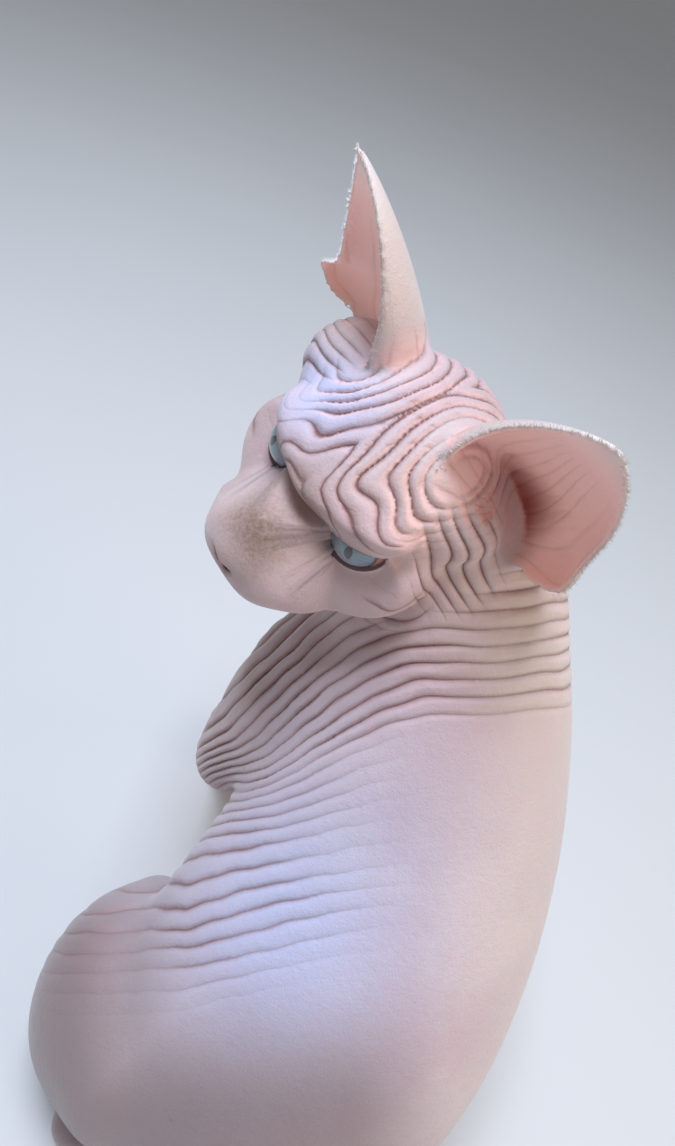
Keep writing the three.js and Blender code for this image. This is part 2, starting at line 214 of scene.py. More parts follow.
def ball(x, y, z, rx, ry, rz, sides=32):
    """An ellipsoid as rings of points from pole to pole."""
    height = np.linspace(-0.995, 0.995, sides) * math.pi / 2
    turn = np.linspace(0, 2 * math.pi, sides, endpoint=False)
    ring = np.stack([np.cos(height)[:, None] * np.cos(turn) * rx + x,
                     np.cos(height)[:, None] * np.sin(turn) * ry + y,
                     np.repeat((np.sin(height) * rz + z)[:, None], sides, 1)], axis=-1)
    return ring


TRUNK = [[0, 100, 36, 36, 30], [-2, 88, 56, 60, 46], [-7, 70, 80, 69, 52], [-14, 49, 106, 70, 53],
         [-18, 27, 132, 66, 52], [-18, 6, 158, 60, 51], [-14, -13, 183, 54, 50], [-8, -29, 207, 48, 45],
         [-2, -38, 228, 42, 39]]
NECK = [[-5, -28, 206, 42, 40], [-2, -35, 226, 40, 38], [7, -41, 246, 38, 35], [19, -42, 264, 34, 32],
        [30, -36, 276, 30, 28]]
TAIL = [[3, 112, 34, 15, 15], [0, 134, 18, 11, 11], [-10, 156, 9.5, 8.5, 8.5], [-34, 172, 8, 7.4, 7.4],
        [-64, 174, 7, 6.4, 6.4], [-92, 160, 6.4, 5.6, 5.6], [-112, 136, 5.8, 4.8, 4.8],
        [-122, 108, 5, 3.8, 3.8]]
forms = [limb(TRUNK, 72, 90), limb(NECK, 64, 60), ball(-2, -56, 176, 32, 26, 42, 40),
         limb(TAIL, 28, 160, (0.0, 0.0, 1.0))]

TOES = (-1.5, -0.5, 0.5, 1.5)


def toe_at(paw, place):
    """Where a toe's middle is: fanned across the front of the paw, the outer ones set back."""
    return paw[0] + place * 7.6, paw[1] - 9 + place ** 2 * 2.2, 9.0


def paw_forms(paw, pad):
    """A pad and the four toes in front of it."""
    return [ball(paw[0], paw[1] + 4, 10.5, 14, 17, pad)] + [
        ball(*toe_at(paw, place), 5.2, 9, 7.4) for place in TOES]


def foreleg(shoulder, elbow, wrist, paw):
    """Upper arm, forearm and paw from the four places that the leg passes through."""
    s, e, w = (np.array(v, float) for v in (shoulder, elbow, wrist))
    upper = [[s[0] * 0.75, s[1] + 8, s[2] + 12, 18, 26], [s[0], s[1], s[2] - 8, 21, 30],
             [(s[0] + e[0]) / 2, (s[1] + e[1]) / 2 + 2, (s[2] + e[2]) / 2, 19, 27], [*e, 16, 20]]
    lower = [[e[0], e[1] + 2, e[2] + 4, 15, 18], [*(e * 0.7 + w * 0.3), 14, 16],
             [*(e * 0.3 + w * 0.7), 11, 12], [*w, 10.5, 11], [paw[0], paw[1] + 14, 15, 12, 12]]
    return [limb(upper), limb(lower)] + paw_forms(paw, 10.5)


def hindleg(hand, paw):
    """Thigh against the flank, shank under it, and the whole foot on the floor."""
    x = 5 + hand * 52
    thigh = [[5 + hand * 36, 94, 70, 26, 35], [x + hand * 2, 76, 64, 29, 43], [x + hand * 3, 53, 54, 26, 36],
             [x, 31, 44, 17, 23]]
    shank = [[x, 36, 42, 14, 17], [x, 66, 32, 14, 18], [x - hand * 3, 98, 17, 11, 14]]
    foot = [[x - hand * 4, 106, 13, 10, 11], [x - hand * 2, 78, 11, 10, 10],
            [paw[0], paw[1] + 14, 11, 12, 10]]
    return [limb(thigh), limb(shank), limb(foot)] + paw_forms(paw, 10)


FORE = {"left": [(38, -24, 186), (53, -16, 120), (56, -66, 36), (56, -88)],
        "right": [(-44, -24, 186), (-52, -20, 120), (-46, -62, 34), (-44, -80)]}
HIND = {"left": (58, 24), "right": (-50, 24)}
for places in FORE.values():
    forms += foreleg(*places)
forms += hindleg(1, HIND["left"]) + hindleg(-1, HIND["right"])
print("body forms:", len(forms))

# %% [markdown]
# ## Head
# A skull under thin skin is many soft bosses that run into each other: braincase, brows, cheekbones, whisker
# pads, chin. They are ellipsoids whose distances are blended, and the surface is found along rays from the
# middle of the head by halving.

# %% Head
HEAD_MIDDLE = np.array([0.0, 16.0, -6.0])
BLEND = 0.35
MIDDLE_FORMS = {"braincase": [0, 34, 5, 32, 34, 27], "forehead": [0, 13, 5, 24, 22, 17],
                "face": [0, 12, -8, 26, 19, 17], "muzzle": [0, -11, -13, 15, 14, 11],
                "bridge": [0, -5, -1.5, 9, 15, 9], "nose": [0, -21, -11, 7, 6, 6],
                "chin": [0, -14, -24, 10, 9, 7], "lower jaw": [0, 8, -23, 20, 22, 11]}
PAIRED_FORMS = {"whisker pad": [8.5, -16, -17, 9.5, 10, 8], "cheekbone": [25, 14, -11, 15, 19, 13],
                "brow": [18, 7, 9, 13, 13, 8], "ear root": [28, 37, 4, 13, 13, 12],
                "under the eye": [19, 8, -11, 14, 13, 12], "lip": [16, -6, -19, 9, 11, 9]}
RIGHT_EAR_SWELL = [-30, 34, 10, 15, 16, 14]
EYE_CORNER_HOLLOW = [12, -5, -2, 3.5, 8]
head_forms, head_hollows = list(MIDDLE_FORMS.values()), []
for hand in (-1, 1):
    head_forms += [[hand * form[0], *form[1:]] for form in PAIRED_FORMS.values()]
    head_hollows.append([hand * EYE_CORNER_HOLLOW[0], *EYE_CORNER_HOLLOW[1:]])
head_forms.append(RIGHT_EAR_SWELL)
print("head forms:", len(head_forms))


def head_field(p):
    """Blended distance to the head's ellipsoids: minus the log of summed exponentials, plus the hollows."""
    total = np.zeros(p.shape[:-1])
    for form in head_forms:
        q = (p - form[:3]) / form[3:]
        far = np.linalg.norm(q, axis=-1) + 1e-9
        slope = np.linalg.norm(q / form[3:], axis=-1) + 1e-9
        total += np.exp(-BLEND * np.clip(far * (far - 1) / slope, -100, 200))
    value = -np.log(total + 1e-30) / BLEND
    for x, y, z, depth, spread in head_hollows:
        value += depth * np.exp(-((p - (x, y, z)) ** 2).sum(-1) / spread ** 2)
    return value


def head_surface(sides=150, rows=110):
    """Directions over a sphere, with the distance to the blended surface found by halving the ray."""
    height = np.linspace(-0.998, 0.998, rows) * math.pi / 2
    turn = np.linspace(0, 2 * math.pi, sides, endpoint=False)
    ray = np.stack([np.cos(height)[:, None] * np.cos(turn), np.cos(height)[:, None] * np.sin(turn),
                    np.repeat(np.sin(height)[:, None], sides, 1)], axis=-1)
    near, far = np.zeros((rows, sides)), np.full((rows, sides), 90.0)
    for _ in range(24):
        middle = (near + far) / 2
        inside = head_field(HEAD_MIDDLE + ray * middle[..., None]) < 0
        near, far = np.where(inside, middle, near), np.where(inside, far, middle)
    return from_head(HEAD_MIDDLE + ray * near[..., None])


forms.append(head_surface())

# %% [markdown]
# ## Ears
# An ear is a thin cup. Its section is an arc, open at the front, that closes to a funnel at the root. The
# outer margin swells into a lobe low down. A sheet with a Solidify modifier would also give a cup, but here
# the wall thins towards the tip and the rims, so the grid itself runs round the outside of the arc and back
# along the inside.

# %% Ears
EAR_HEIGHT, EAR_WIDTH, EAR_DEPTH, EAR_WALL = 66.0, 25.0, 17.0, 3.1
EAR_LOBE, LOBE_AT, LOBE_WIDTH = {1: 0.22, -1: 1.3}, {1: 0.18, -1: 0.11}, 0.17
EAR_FUNNEL, EAR_SUNK = 0.24, 0.12
EAR_ROOT = np.array([31.0, 43.0, 8.0])
EAR_TIP = {1: np.array([46.0, 37.0, 69.0]), -1: np.array([-53.0, 34.0, 68.0])}
EAR_OPENING = {1: np.array([0.35, -1.0, 0.0]), -1: np.array([-0.43, -1.0, 0.0])}


def ear_axes(hand):
    """Root, axis, opening direction and width direction of an ear in the head's frame: 1 left, -1 right."""
    root = EAR_ROOT * (hand, 1, 1)
    axis = unit(EAR_TIP[hand] - root)
    opening = EAR_OPENING[hand] - axis * (EAR_OPENING[hand] @ axis)
    opening = unit(opening)
    return root, axis, opening, np.cross(axis, opening)


def ear_spread(t):
    """How wide the ear is at a share t of its height: (1 - t) to the power 0.8, times 1 + 1.25 t."""
    return (1 - t) ** 0.8 * (1 + 1.25 * t)


def ear_lobe(t, hand):
    """How much the outer margin swells: the lobe's size times a bell round the height where it lies."""
    return EAR_LOBE[hand] * np.exp(-(((t - LOBE_AT[hand]) / LOBE_WIDTH) ** 2))


def ear_surface(hand, sides=96, rows=90):
    """Closed loops from root to tip: half of each loop is the back of the ear, half the inside of the cup."""
    root, axis, opening, width = ear_axes(hand)
    t = np.linspace(0, 0.999, rows)[:, None]
    angle = np.linspace(-math.pi, math.pi, sides, endpoint=False)[None, :]
    inside = np.abs(angle) > math.pi / 2
    s = np.where(inside, np.sign(angle) * (2 - np.abs(angle) * 2 / math.pi), angle * 2 / math.pi)
    closing = np.minimum(1, t / EAR_FUNNEL)
    spread = ear_spread(t) * (0.4 + 0.6 * closing * (2 - closing))
    arc = (0.68 - 0.24 * t) * math.pi * (1 + 0.24 * np.maximum(0, -s * hand) ** 2 * np.exp(-((t / 0.4) ** 2)))
    wall = EAR_WALL * (0.82 + 0.18 * np.cos(s * math.pi / 2)) * (1 - 0.2 * t)
    shrink = np.where(inside, wall, 0)
    lobe = 1 + ear_lobe(t, hand) * np.maximum(0, s * hand)
    across = (EAR_WIDTH * spread * lobe - shrink) * np.sin(s * arc)
    depth = (EAR_DEPTH * spread * (1 - 0.35 * t) - shrink) * -np.cos(s * arc)
    centre = root + axis * EAR_HEIGHT * (t * (1 + EAR_SUNK) - EAR_SUNK)
    return from_head(centre[:, None] + width * across[..., None] + opening * depth[..., None])


forms += [ear_surface(1), ear_surface(-1)]
print("forms with head and ears:", len(forms))

# %% [markdown]
# ## One skin
# On the animal one skin runs over everything, and a seam would show at once. The forms are joined and
# remeshed as one closed surface with cells of about a millimetre. A boolean union would join them too, but
# with long uneven faces, while even cells let the next step round off the grooves where forms meet.

# %% Join and remesh
VOXEL = 1.0


def tube_faces(rows, sides, start):
    """Quads between the rings of a tube, and a polygon over each end."""
    i = np.arange(rows - 1)[:, None] * sides
    j = np.arange(sides)[None, :]
    k = (j + 1) % sides
    quads = np.stack([i + j, i + k, i + sides + k, i + sides + j], axis=-1).reshape(-1, 4) + start
    caps = [list(range(start + sides - 1, start - 1, -1)),
            list(range(start + (rows - 1) * sides, start + rows * sides))]
    return quads.tolist() + caps


points, faces = [], []
for form in forms:
    rows, sides = form.shape[:2]
    faces += tube_faces(rows, sides, sum(len(p) for p in points))
    points.append(form.reshape(-1, 3))
blocks = mesh_object("skin", np.concatenate(points), faces)
bpy.context.view_layer.objects.active = blocks
blocks.select_set(True)
bpy.ops.object.mode_set(mode="EDIT")
bpy.ops.mesh.select_all(action="SELECT")
bpy.ops.mesh.normals_make_consistent(inside=False)
bpy.ops.object.mode_set(mode="OBJECT")
remesh = blocks.modifiers.new("one skin", "REMESH")
remesh.mode = "VOXEL"
remesh.voxel_size = VOXEL
remesh.adaptivity = 0
bpy.ops.object.modifier_apply(modifier=remesh.name)
skin = blocks
print("skin points:", len(skin.data.vertices), "faces:", len(skin.data.polygons))

# %% [markdown]
# ## Soft flesh
# Averaging each point with its neighbours runs the forms into each other, as flesh does under skin: many
# rounds on the body, few on the head and the paws, and next to none on the thin ears. The sums run over the
# edge list as whole arrays, which allows a weight of its own for each point.

# %% Smooth the skin


def read_points(mesh):
    """A mesh's points as an array."""
    co = np.empty(len(mesh.vertices) * 3)
    mesh.vertices.foreach_get("co", co)
    return co.reshape(-1, 3)


def write_points(mesh, co):
    """Puts an array of points back into the mesh."""
    mesh.vertices.foreach_set("co", np.asarray(co, np.float32).ravel())
    mesh.update()


def read_normals(mesh):
    """The mesh's normals at its points."""
    normals = np.empty(len(mesh.vertices) * 3)
    mesh.vertices.foreach_get("normal", normals)
    return normals.reshape(-1, 3)


edges = np.empty(len(skin.data.edges) * 2, np.int64)
skin.data.edges.foreach_get("vertices", edges)
first, second = edges.reshape(-1, 2).T
count = len(skin.data.vertices)
degree = np.bincount(first, minlength=count) + np.bincount(second, minlength=count)


def average(values):
    """Mean of each point's neighbours: the other ends of its edges are summed and divided by their number."""
    total = [np.bincount(first, weights=v[second], minlength=count)
             + np.bincount(second, weights=v[first], minlength=count) for v in values.T]
    return np.stack(total, axis=1) / degree[:, None]


def smooth(co, weight, rounds):
    """Moves every point towards its neighbours' mean by its weight, over and over."""
    for _ in range(rounds):
        co = co + weight[:, None] * (average(co) - co)
    return co


def ramp(value, low, high):
    """Smooth step: 0 below low, 1 above high, and 3t^2 - 2t^3 between them."""
    t = np.clip((value - low) / (high - low), 0, 1)
    return t * t * (3 - 2 * t)


def ear_place(h, hand):
    """A head-frame point in the ear's terms: share of its height, and the offsets along width and opening."""
    root, axis, opening, width = ear_axes(hand)
    d = h - root
    return d @ axis / EAR_HEIGHT, d @ width, d @ opening


def ear_reach(t, across, depth, hand):
    """Distance from the ear's axis as a share of the section's half width and depth: about 1 on the ear."""
    u = np.clip((t + EAR_SUNK) / (1 + EAR_SUNK), 0, 0.98)
    lobe = 1 + ear_lobe(u, hand) * (across * hand > 0)
    return np.hypot(across / (EAR_WIDTH * lobe), depth / EAR_DEPTH) / ear_spread(u)


SKULL_AT, SKULL_LENGTH, SKULL_REACH = HEAD_MIDDLE + (0, 12, 6), (1, 1.15, 1), (44, 56)
MUZZLE_AT, MUZZLE_REACH = (0, -6, -10), (32, 40)
BODY_ROUNDS, HEAD_ROUNDS = 170, 10
co = read_points(skin.data)
head_points = to_head(co)
near_head = 1 - ramp(np.linalg.norm((head_points - SKULL_AT) / SKULL_LENGTH, axis=1), *SKULL_REACH)
near_head = np.maximum(near_head, 1 - ramp(np.linalg.norm(head_points - MUZZLE_AT, axis=1), *MUZZLE_REACH))
on_ear = np.zeros(count)
for hand in (-1, 1):
    t, across, depth = ear_place(head_points, hand)
    beside = 1 - ramp(ear_reach(t, across, depth, hand), 1.12, 1.4)
    on_ear = np.maximum(on_ear, ramp(t, 0.16, 0.34) * beside)
    on_ear = np.maximum(on_ear, ramp(t, -0.12, 0.0) * ramp(across * hand, 15, 20) * beside)
on_paw = 1 - ramp(co[:, 2], 18, 26)
body = (1 - near_head) * (1 - on_ear) * (1 - 0.85 * on_paw)
SCALE = (1.0 / VOXEL) ** 2
co = smooth(co, np.full(count, 0.5), 3)
co = smooth(co, 0.62 * body, int(BODY_ROUNDS * SCALE))
co = smooth(co, 0.5 * near_head * (1 - on_ear), int(HEAD_ROUNDS * SCALE))
print("smoothed; share of points on the head:", round(float((near_head > 0.5).mean()), 3))

# %% [markdown]
# ## Folds
# Loose skin folds where the head turns. A bump map could draw the folds, but they are deep enough to show in
# the outline, so the points themselves move. Each family of folds is a set of level lines of one simple
# measure, such as the distance to the root of an ear. Between two lines the skin is a round ridge, and at the
# line it drops into a narrow crease.

# %% Fold tools


def waves(p, length, seed, number=7):
    """Smooth noise: the mean of sines in seeded directions, whose wavelengths lie round the given length."""
    rng = np.random.RandomState(seed)
    direction = unit(rng.normal(size=(number, 3)))
    direction = direction * (2 * math.pi / length * rng.uniform(0.6, 1.5, (number, 1)))
    return np.sin(p @ direction.T + rng.uniform(0, 6.28, number)).mean(1) * 1.6


def ridges(phase, roundness=0.55):
    """0 on top of a ridge, -1 in the crease at each whole number: a sine's size to a power, less one."""
    return np.abs(np.sin(math.pi * phase)) ** roundness - 1


def crease(p, path, depth, width):
    """A single crease: depth times the bell of the distance to the nearest stretch of the path."""
    path = np.asarray(path, float)
    nearest = np.full(len(p), 1e9)
    for a, b in zip(path[:-1], path[1:]):
        share = np.clip(((p - a) @ (b - a)) / ((b - a) @ (b - a)), 0, 1)
        nearest = np.minimum(nearest, np.linalg.norm(p - a - share[:, None] * (b - a), axis=1))
    return -depth * np.exp(-(nearest / width) ** 2)


# %% [markdown]
# ## Folds of the head
# Arcs run round the root of each ear and meet on the crown, and noise bends them into worms on the forehead.
# Under the ears the folds run down the temples, and below the eyes they follow the lids. The masks keep all
# of them off the lids, the bridge of the nose and the ears.

# %% Folds of the head
EAR_BASE = np.array([23.0, 31.0, 27.0])
CROWN_SPACING, TEMPLE_SPACING, CHEEK_SPACING = 4.1, 4.6, 4.2
CROWN_DEPTH, TEMPLE_DEPTH, CHEEK_DEPTH = 1.7, 1.0, 1.1
h = to_head(co)
hx, hy, hz = h.T
bare_head = near_head * (1 - on_ear)
arcs = []
for hand in (-1, 1):
    d = h - EAR_BASE * (hand, 1, 1)
    arcs.append(np.sqrt(d[:, 0] ** 2 + d[:, 2] ** 2 + (0.62 * d[:, 1]) ** 2))
ear_arc = np.minimum(*arcs)
forehead = ramp(-hy, -26, -4) * ramp(hz, 0, 8)
bent_arc = ear_arc + waves(h, 17, 1) * (0.7 + 2.6 * forehead) + 1.2 * waves(h, 40, 2)
phase = bent_arc / CROWN_SPACING + 1.4 * (1 - np.exp(-bent_arc / 6))
eye_gap = np.minimum(np.linalg.norm(h - EYE_CENTRE, axis=1),
                     np.linalg.norm(h - EYE_CENTRE * (-1, 1, 1), axis=1))
side_ear = np.maximum(ramp(hx, 22, 34), ramp(-hx, 20, 30)) * (1 - ramp(hz, 24, 34))
crown = ramp(ear_arc, 4, 8) * ramp(hy, -17, -7) * ramp(hz, -6, 7) * (1 - ramp(hy, 58, 74))
crown = crown * ramp(eye_gap, 13.5, 18) * (1 - 0.9 * side_ear) * bare_head
crown = crown * (1 - 0.55 * ramp(-hx, 8, 22) * ramp(-hy, -30, -8)) * (0.9 + 0.3 * waves(h, 22, 3))
families = {"crown": (phase, crown)}
fold = CROWN_DEPTH * crown * ridges(phase, 0.8)
temple = side_ear * ramp(eye_gap, 14, 18) * ramp(hy, 12, 20) * (1 - ramp(hy, 34, 46)) * ramp(hz, -20, -8)
temple = temple * bare_head
families["temple"] = ((hy + 0.3 * hz + 1.6 * waves(h, 20, 13)) / TEMPLE_SPACING, temple)
fold += TEMPLE_DEPTH * temple * ridges(families["temple"][0], 0.8)
cheek = ramp(hy, -4, 6) * (1 - ramp(hy, 16, 24)) * (1 - ramp(hz, -12, -3)) * bare_head
cheek = cheek * ramp(eye_gap, 14, 18) * (1 - ramp(eye_gap, 32, 44))
families["cheek"] = ((eye_gap + 1.6 * waves(h, 18, 4)) / CHEEK_SPACING, cheek)
fold += CHEEK_DEPTH * cheek * ridges(families["cheek"][0], 0.8)
print("deepest head fold, mm:", round(float(fold.min()), 2))

# %% [markdown]
# ## Folds of the neck and the flanks
# The long creases of the nape run together at the armpit. The photo shows them best, so they are counted in
# its own pixels: each point is seen through the camera, and the measure is its row, lowered towards the
# armpit. A mask fades them out where the skin turns away from the camera. The belly, the limbs and the tail
# get faint rings of their own.

# %% Folds of the neck and the flanks
ARMPIT_COLUMN, ARMPIT_REACH, ARMPIT_DROP, ARMPIT_ROWS = 430, 130, 62, (730, 850)
SPINE_COLUMNS, SPINE_RISE = (470, 570), 14
NAPE_END, FLANK_END, FLANK_COLUMNS = (705, 735), (860, 1000), (260, 430)
NAPE_SPACING, NAPE_FINE_SPACING, FLANK_SPACING = 17.5, 9.5, 21
NAPE_DEPTH, NAPE_FINE_DEPTH, FLANK_DEPTH = 2.0, 0.45, 1.5
x, y, z = co.T
ray = co - CAMERA_AT
ahead = ray @ np.cross(CAMERA_UP, CAMERA_RIGHT)
px = PHOTO_MIDDLE[0] + FOCAL_PIXELS * (ray @ CAMERA_RIGHT) / ahead
py = PHOTO_MIDDLE[1] - FOCAL_PIXELS * (ray @ CAMERA_UP) / ahead
bend = np.clip((ARMPIT_COLUMN - px) / ARMPIT_REACH, 0, 1.9)
climb = py - ARMPIT_DROP * bend ** 1.7 * (1 - 0.75 * ramp(py, *ARMPIT_ROWS))
climb = climb + SPINE_RISE * ramp(px, *SPINE_COLUMNS)
climb = climb + 5.5 * waves(co, 60, 5) + 2.2 * waves(co, 22, 6)
write_points(skin.data, co)
faces_back = ramp(-(read_normals(skin.data) * unit(ray)).sum(1), -0.35, 0.1)
nape = (1 - ramp(climb, *NAPE_END)) * (1 - near_head) * (1 - on_ear) * ramp(z, 105, 140)
nape = nape * (0.75 + 0.45 * waves(co * (1, 1, 2.2), 60, 7))
nape = np.clip(nape, 0, 1) * faces_back
families["nape"] = (climb / NAPE_SPACING, nape)
fold += NAPE_DEPTH * nape * ridges(families["nape"][0], 0.7)
fold += NAPE_FINE_DEPTH * nape * ridges((climb + 5 * waves(co, 30, 12)) / NAPE_FINE_SPACING, 0.9)
flank = ramp(climb, *NAPE_END) * (1 - ramp(climb, *FLANK_END)) * (1 - ramp(px, *FLANK_COLUMNS))
flank = flank * ramp(z, 50, 90) * (0.75 + 0.4 * waves(co, 50, 8)) * faces_back
families["flank"] = (climb / FLANK_SPACING, 0.7 * flank)
fold += FLANK_DEPTH * flank * ridges(families["flank"][0], 0.8)
belly = ramp(-y, 20, 60) * ramp(z, 40, 80) * (1 - ramp(z, 180, 215))
fold += 0.8 * belly * ridges((z + 2.5 * waves(co, 40, 9)) / 9, 0.7)
limbs = (1 - ramp(z, 70, 100)) * ramp(z, 20, 30) * ramp(-y, -30, 10)
fold += 0.35 * limbs * ridges((z + 0.35 * y + 2 * waves(co, 25, 10)) / 6, 0.8)
tail_part = ramp(y, 118, 135) * (1 - ramp(z, 40, 60))
fold += 0.3 * tail_part * ridges(np.arctan2(y - 100, x + 40) * 12, 0.8)
print("deepest fold, mm:", round(float(fold.min()), 2))

# %% [markdown]
# ## Creases of the face
# The mouth, the edge of the whisker pad and the nostrils are single creases, so each is a path through places
# in the head's frame, with a bell-shaped groove along it. When all folds are summed up, the points move along
# their normals, which were taken before any fold, so that the ridges stay round.

# %% Creases of the face
MOUTH = [[0, -27, -18], [0, -25, -21.5], [6, -23, -23], [12, -15, -22.5], [17, -6, -19.5]]
PAD_EDGE = [[15, -9, -7], [20, -10, -12], [23, -9, -18]]
CHEEK_LINE = [[19, -2, -11], [24, -3, -15], [25, -4, -20]]
NOSTRIL = [[2.0, -28.5, -13.5], [4.4, -26.8, -12.4], [7.6, -23.6, -12.2], [9.2, -21.5, -13.6]]
NOSTRIL_DEPTH = 2.3
LOWER_LID_FOLD, LOWER_LID_DEPTH = 14.6, 0.275
nostril = np.zeros(count)
for hand in (-1, 1):
    side = np.array([hand, 1, 1])
    fold += crease(h, np.array(MOUTH) * side, 1.1, 0.8)
    fold += crease(h, np.array(PAD_EDGE) * side, 1.0, 1.0)
    fold += crease(h, np.array(CHEEK_LINE) * side, 1.1, 0.9)
    slit = crease(h, np.array(NOSTRIL) * side, 1, 1.5)
    fold += NOSTRIL_DEPTH * slit
    nostril = np.maximum(nostril, -slit)
    lower_lid = ramp(-hz, -2, 3) * ramp(np.abs(hx), 4, 10)
    fold -= LOWER_LID_DEPTH * lower_lid * np.exp(-((eye_gap - LOWER_LID_FOLD) / 0.8) ** 2)
write_points(skin.data, co)
co = co + read_normals(skin.data) * (fold + 0.35 * (nape + crown))[:, None]
write_points(skin.data, co)
print("points moved, mm, at most:", round(float(np.abs(fold).max()), 2))

# %% [markdown]
# ## Lids
# The eyeball is deep in the head and the lids lie on it. Round each eye the skin is drawn to a shell just
# outside the ball. Inside the opening it is pushed back behind the ball, which leaves a clean lid edge. The
# upper lid is a nearly straight slant and the lower one is round, which gives the cat its frown.

# %% Lids
LID = 1.0
SIGHT, OUTER_CORNER = np.array([0.36, -0.88, 0.30]), np.array([0.9, 0.42, 0.16])
OUTER_HALF, INNER_HALF, UPPER_LID, LOWER_LID = 12.0, 10.8, 1.9, -7.6
SOCKET_DEPTH, SOCKET_REACH = 2.6, 30
sight_of = {}
for hand in (-1, 1):
    sight = unit(SIGHT * (hand, 1, 1))
    corner = OUTER_CORNER * (hand, 1, 1)
    corner = unit(corner - sight * (corner @ sight))
    lift = np.cross(corner, sight) * hand
    lift = lift if lift[2] > 0 else -lift
    sight_of[hand] = (sight, corner, lift)


def eye_place(h, hand):
    """Places on the eyeball: the arc from the line of sight, EYE_RADIUS times the angle, split into a part
    towards the outer corner and a part up the lid, with the cosine of the angle and the distance."""
    sight, corner, lift = sight_of[hand]
    d = h - EYE_CENTRE * (hand, 1, 1)
    radius = np.linalg.norm(d, axis=1) + 1e-9
    cosine = np.clip(d @ sight / radius, -1, 1)
    u, v = d @ corner, d @ lift
    arc_share = EYE_RADIUS * np.arccos(cosine) / (np.hypot(u, v) + 1e-9)
    return u * arc_share, v * arc_share, cosine, radius


def opening_gap(u, v):
    """How far a place on the eyeball lies outside the opening, about in mm: above the slanting upper lid, or
    below the round lower lid, whose depth falls from the middle to the corners as a half ellipse."""
    half = np.where(u > 0, OUTER_HALF, INNER_HALF)
    level = np.clip(1 - (u / half) ** 2, 0, 1)
    upper = UPPER_LID * level - 0.05 * u
    lower = LOWER_LID * np.sqrt(level) + 0.2
    over = np.maximum(v - upper, lower - v)
    return np.maximum(over, np.abs(u) - half)


rim, socket = np.zeros(count), np.zeros(count)
h = to_head(co)
for hand in (-1, 1):
    u, v, cosine, radius = eye_place(h, hand)
    front = ramp(cosine, 0.0, 0.2) * (radius < SOCKET_REACH)
    gap = opening_gap(u, v)
    shell = EYE_RADIUS + LID + 0.12 * np.clip(gap, 0, 9) ** 1.35
    hug = (1 - ramp(gap, 1.2, 5.5)) * front
    wanted = np.maximum(radius * (1 - hug) + shell * hug, EYE_RADIUS + LID * 0.9)
    wanted = np.where(front > 0, wanted, radius)
    sunk = EYE_RADIUS - SOCKET_DEPTH
    inside = 1 - ramp(gap, -0.75, 0.15)
    wanted = wanted * (1 - inside * front) + sunk * inside * front
    direction = (h - EYE_CENTRE * (hand, 1, 1)) / radius[:, None]
    h = np.where((front > 0)[:, None], EYE_CENTRE * (hand, 1, 1) + direction * wanted[:, None], h)
    rim = np.maximum(rim, front * np.exp(-(gap / 0.55) ** 2))
    socket = np.maximum(socket, front * ramp(gap, 1.2, 2.4) * (1 - ramp(gap, 8, 12)))
co = np.where((near_head > 0)[:, None], from_head(h), co)
co = smooth(co, 0.5 * socket, int(HEAD_ROUNDS * SCALE))
co = smooth(co, 0.4 * ramp(rim, 0.05, 0.4), 2)
co[:, 2] = np.maximum(co[:, 2], 1.6)
write_points(skin.data, co)
print("points on the lid rims:", int((rim > 0.5).sum()))

# %% [markdown]
# ## Marks
# Each region that gets a colour or a grain of its own is written on the points as a number: the creases, the
# distance to the edge of the lids, the inside of the ears, the fuzzy patch on the bridge of the nose, and
# the places of painted light: a bluish painted sheen, painted shade and painted warm light, where these show
# in the photo. A painted image would need an unwrapped map, while numbers on points follow the shape by
# themselves.
# Each family of folds leaves its measure too, so that the material can paint shade in each fold and a thin
# dark line of painted shade exactly at its bottom.

# %% Marks on the skin
FOLD_FULL = 1.7
# Where the bluish painted sheen lies on the back and on the brow, in photo pixels.
SHEEN_BACK, SHEEN_BROW = (290, 925, 145, 185), (325, 390, 60, 48)
# Where painted shade darkens the haunch's left edge and, on the next line, the lower back, in photo pixels.
SHADE_COLUMNS, SHADE_ROWS = (60, 230), (640, 980)
LOIN_SHADE_COLUMNS, LOIN_SHADE_ROWS = (340, 480), (960, 1120)
# Where painted warm light lies on the right of the neck and the body, in photo pixels.
WARM_LIGHT_COLUMNS, WARM_LIGHT_ROWS = (420, 560), (560, 620)


def photo_spot(column, row, half_width, half_height):
    """1 at a place in the photo, falling off as a bell over the offsets in columns and rows."""
    return np.exp(-((px - column) / half_width) ** 2 - ((py - row) / half_height) ** 2)


h = to_head(co)
hx, hy, hz = h.T
skin_normals = read_normals(skin.data) @ HEAD_TURN
inner, canal, pale = np.zeros(count), np.zeros(count), np.zeros(count)
for hand in (-1, 1):
    t, across, depth = ear_place(h, hand)
    opening, width = ear_axes(hand)[2:]
    outward = unit(across[:, None] * width + (depth - 4)[:, None] * opening)
    beside = 1 - ramp(np.hypot(across, depth), 50, 58)
    facing = ramp(-(skin_normals * outward).sum(1), -0.1, 0.5) * beside
    inner = np.maximum(inner, facing * ramp(t, -0.12, 0.02) * (1 - ramp(t, 0.75, 1.05)))
    canal = np.maximum(canal, facing * ramp(t, -0.2, -0.05) * (1 - ramp(t, 0.0, 0.3))
                       * (1 - ramp(np.hypot(across, depth + 4), 9, 21)))
    pale = np.maximum(pale, beside * ramp(t, 0.62, 1.0))
lid_gap = np.full(count, 12.0)
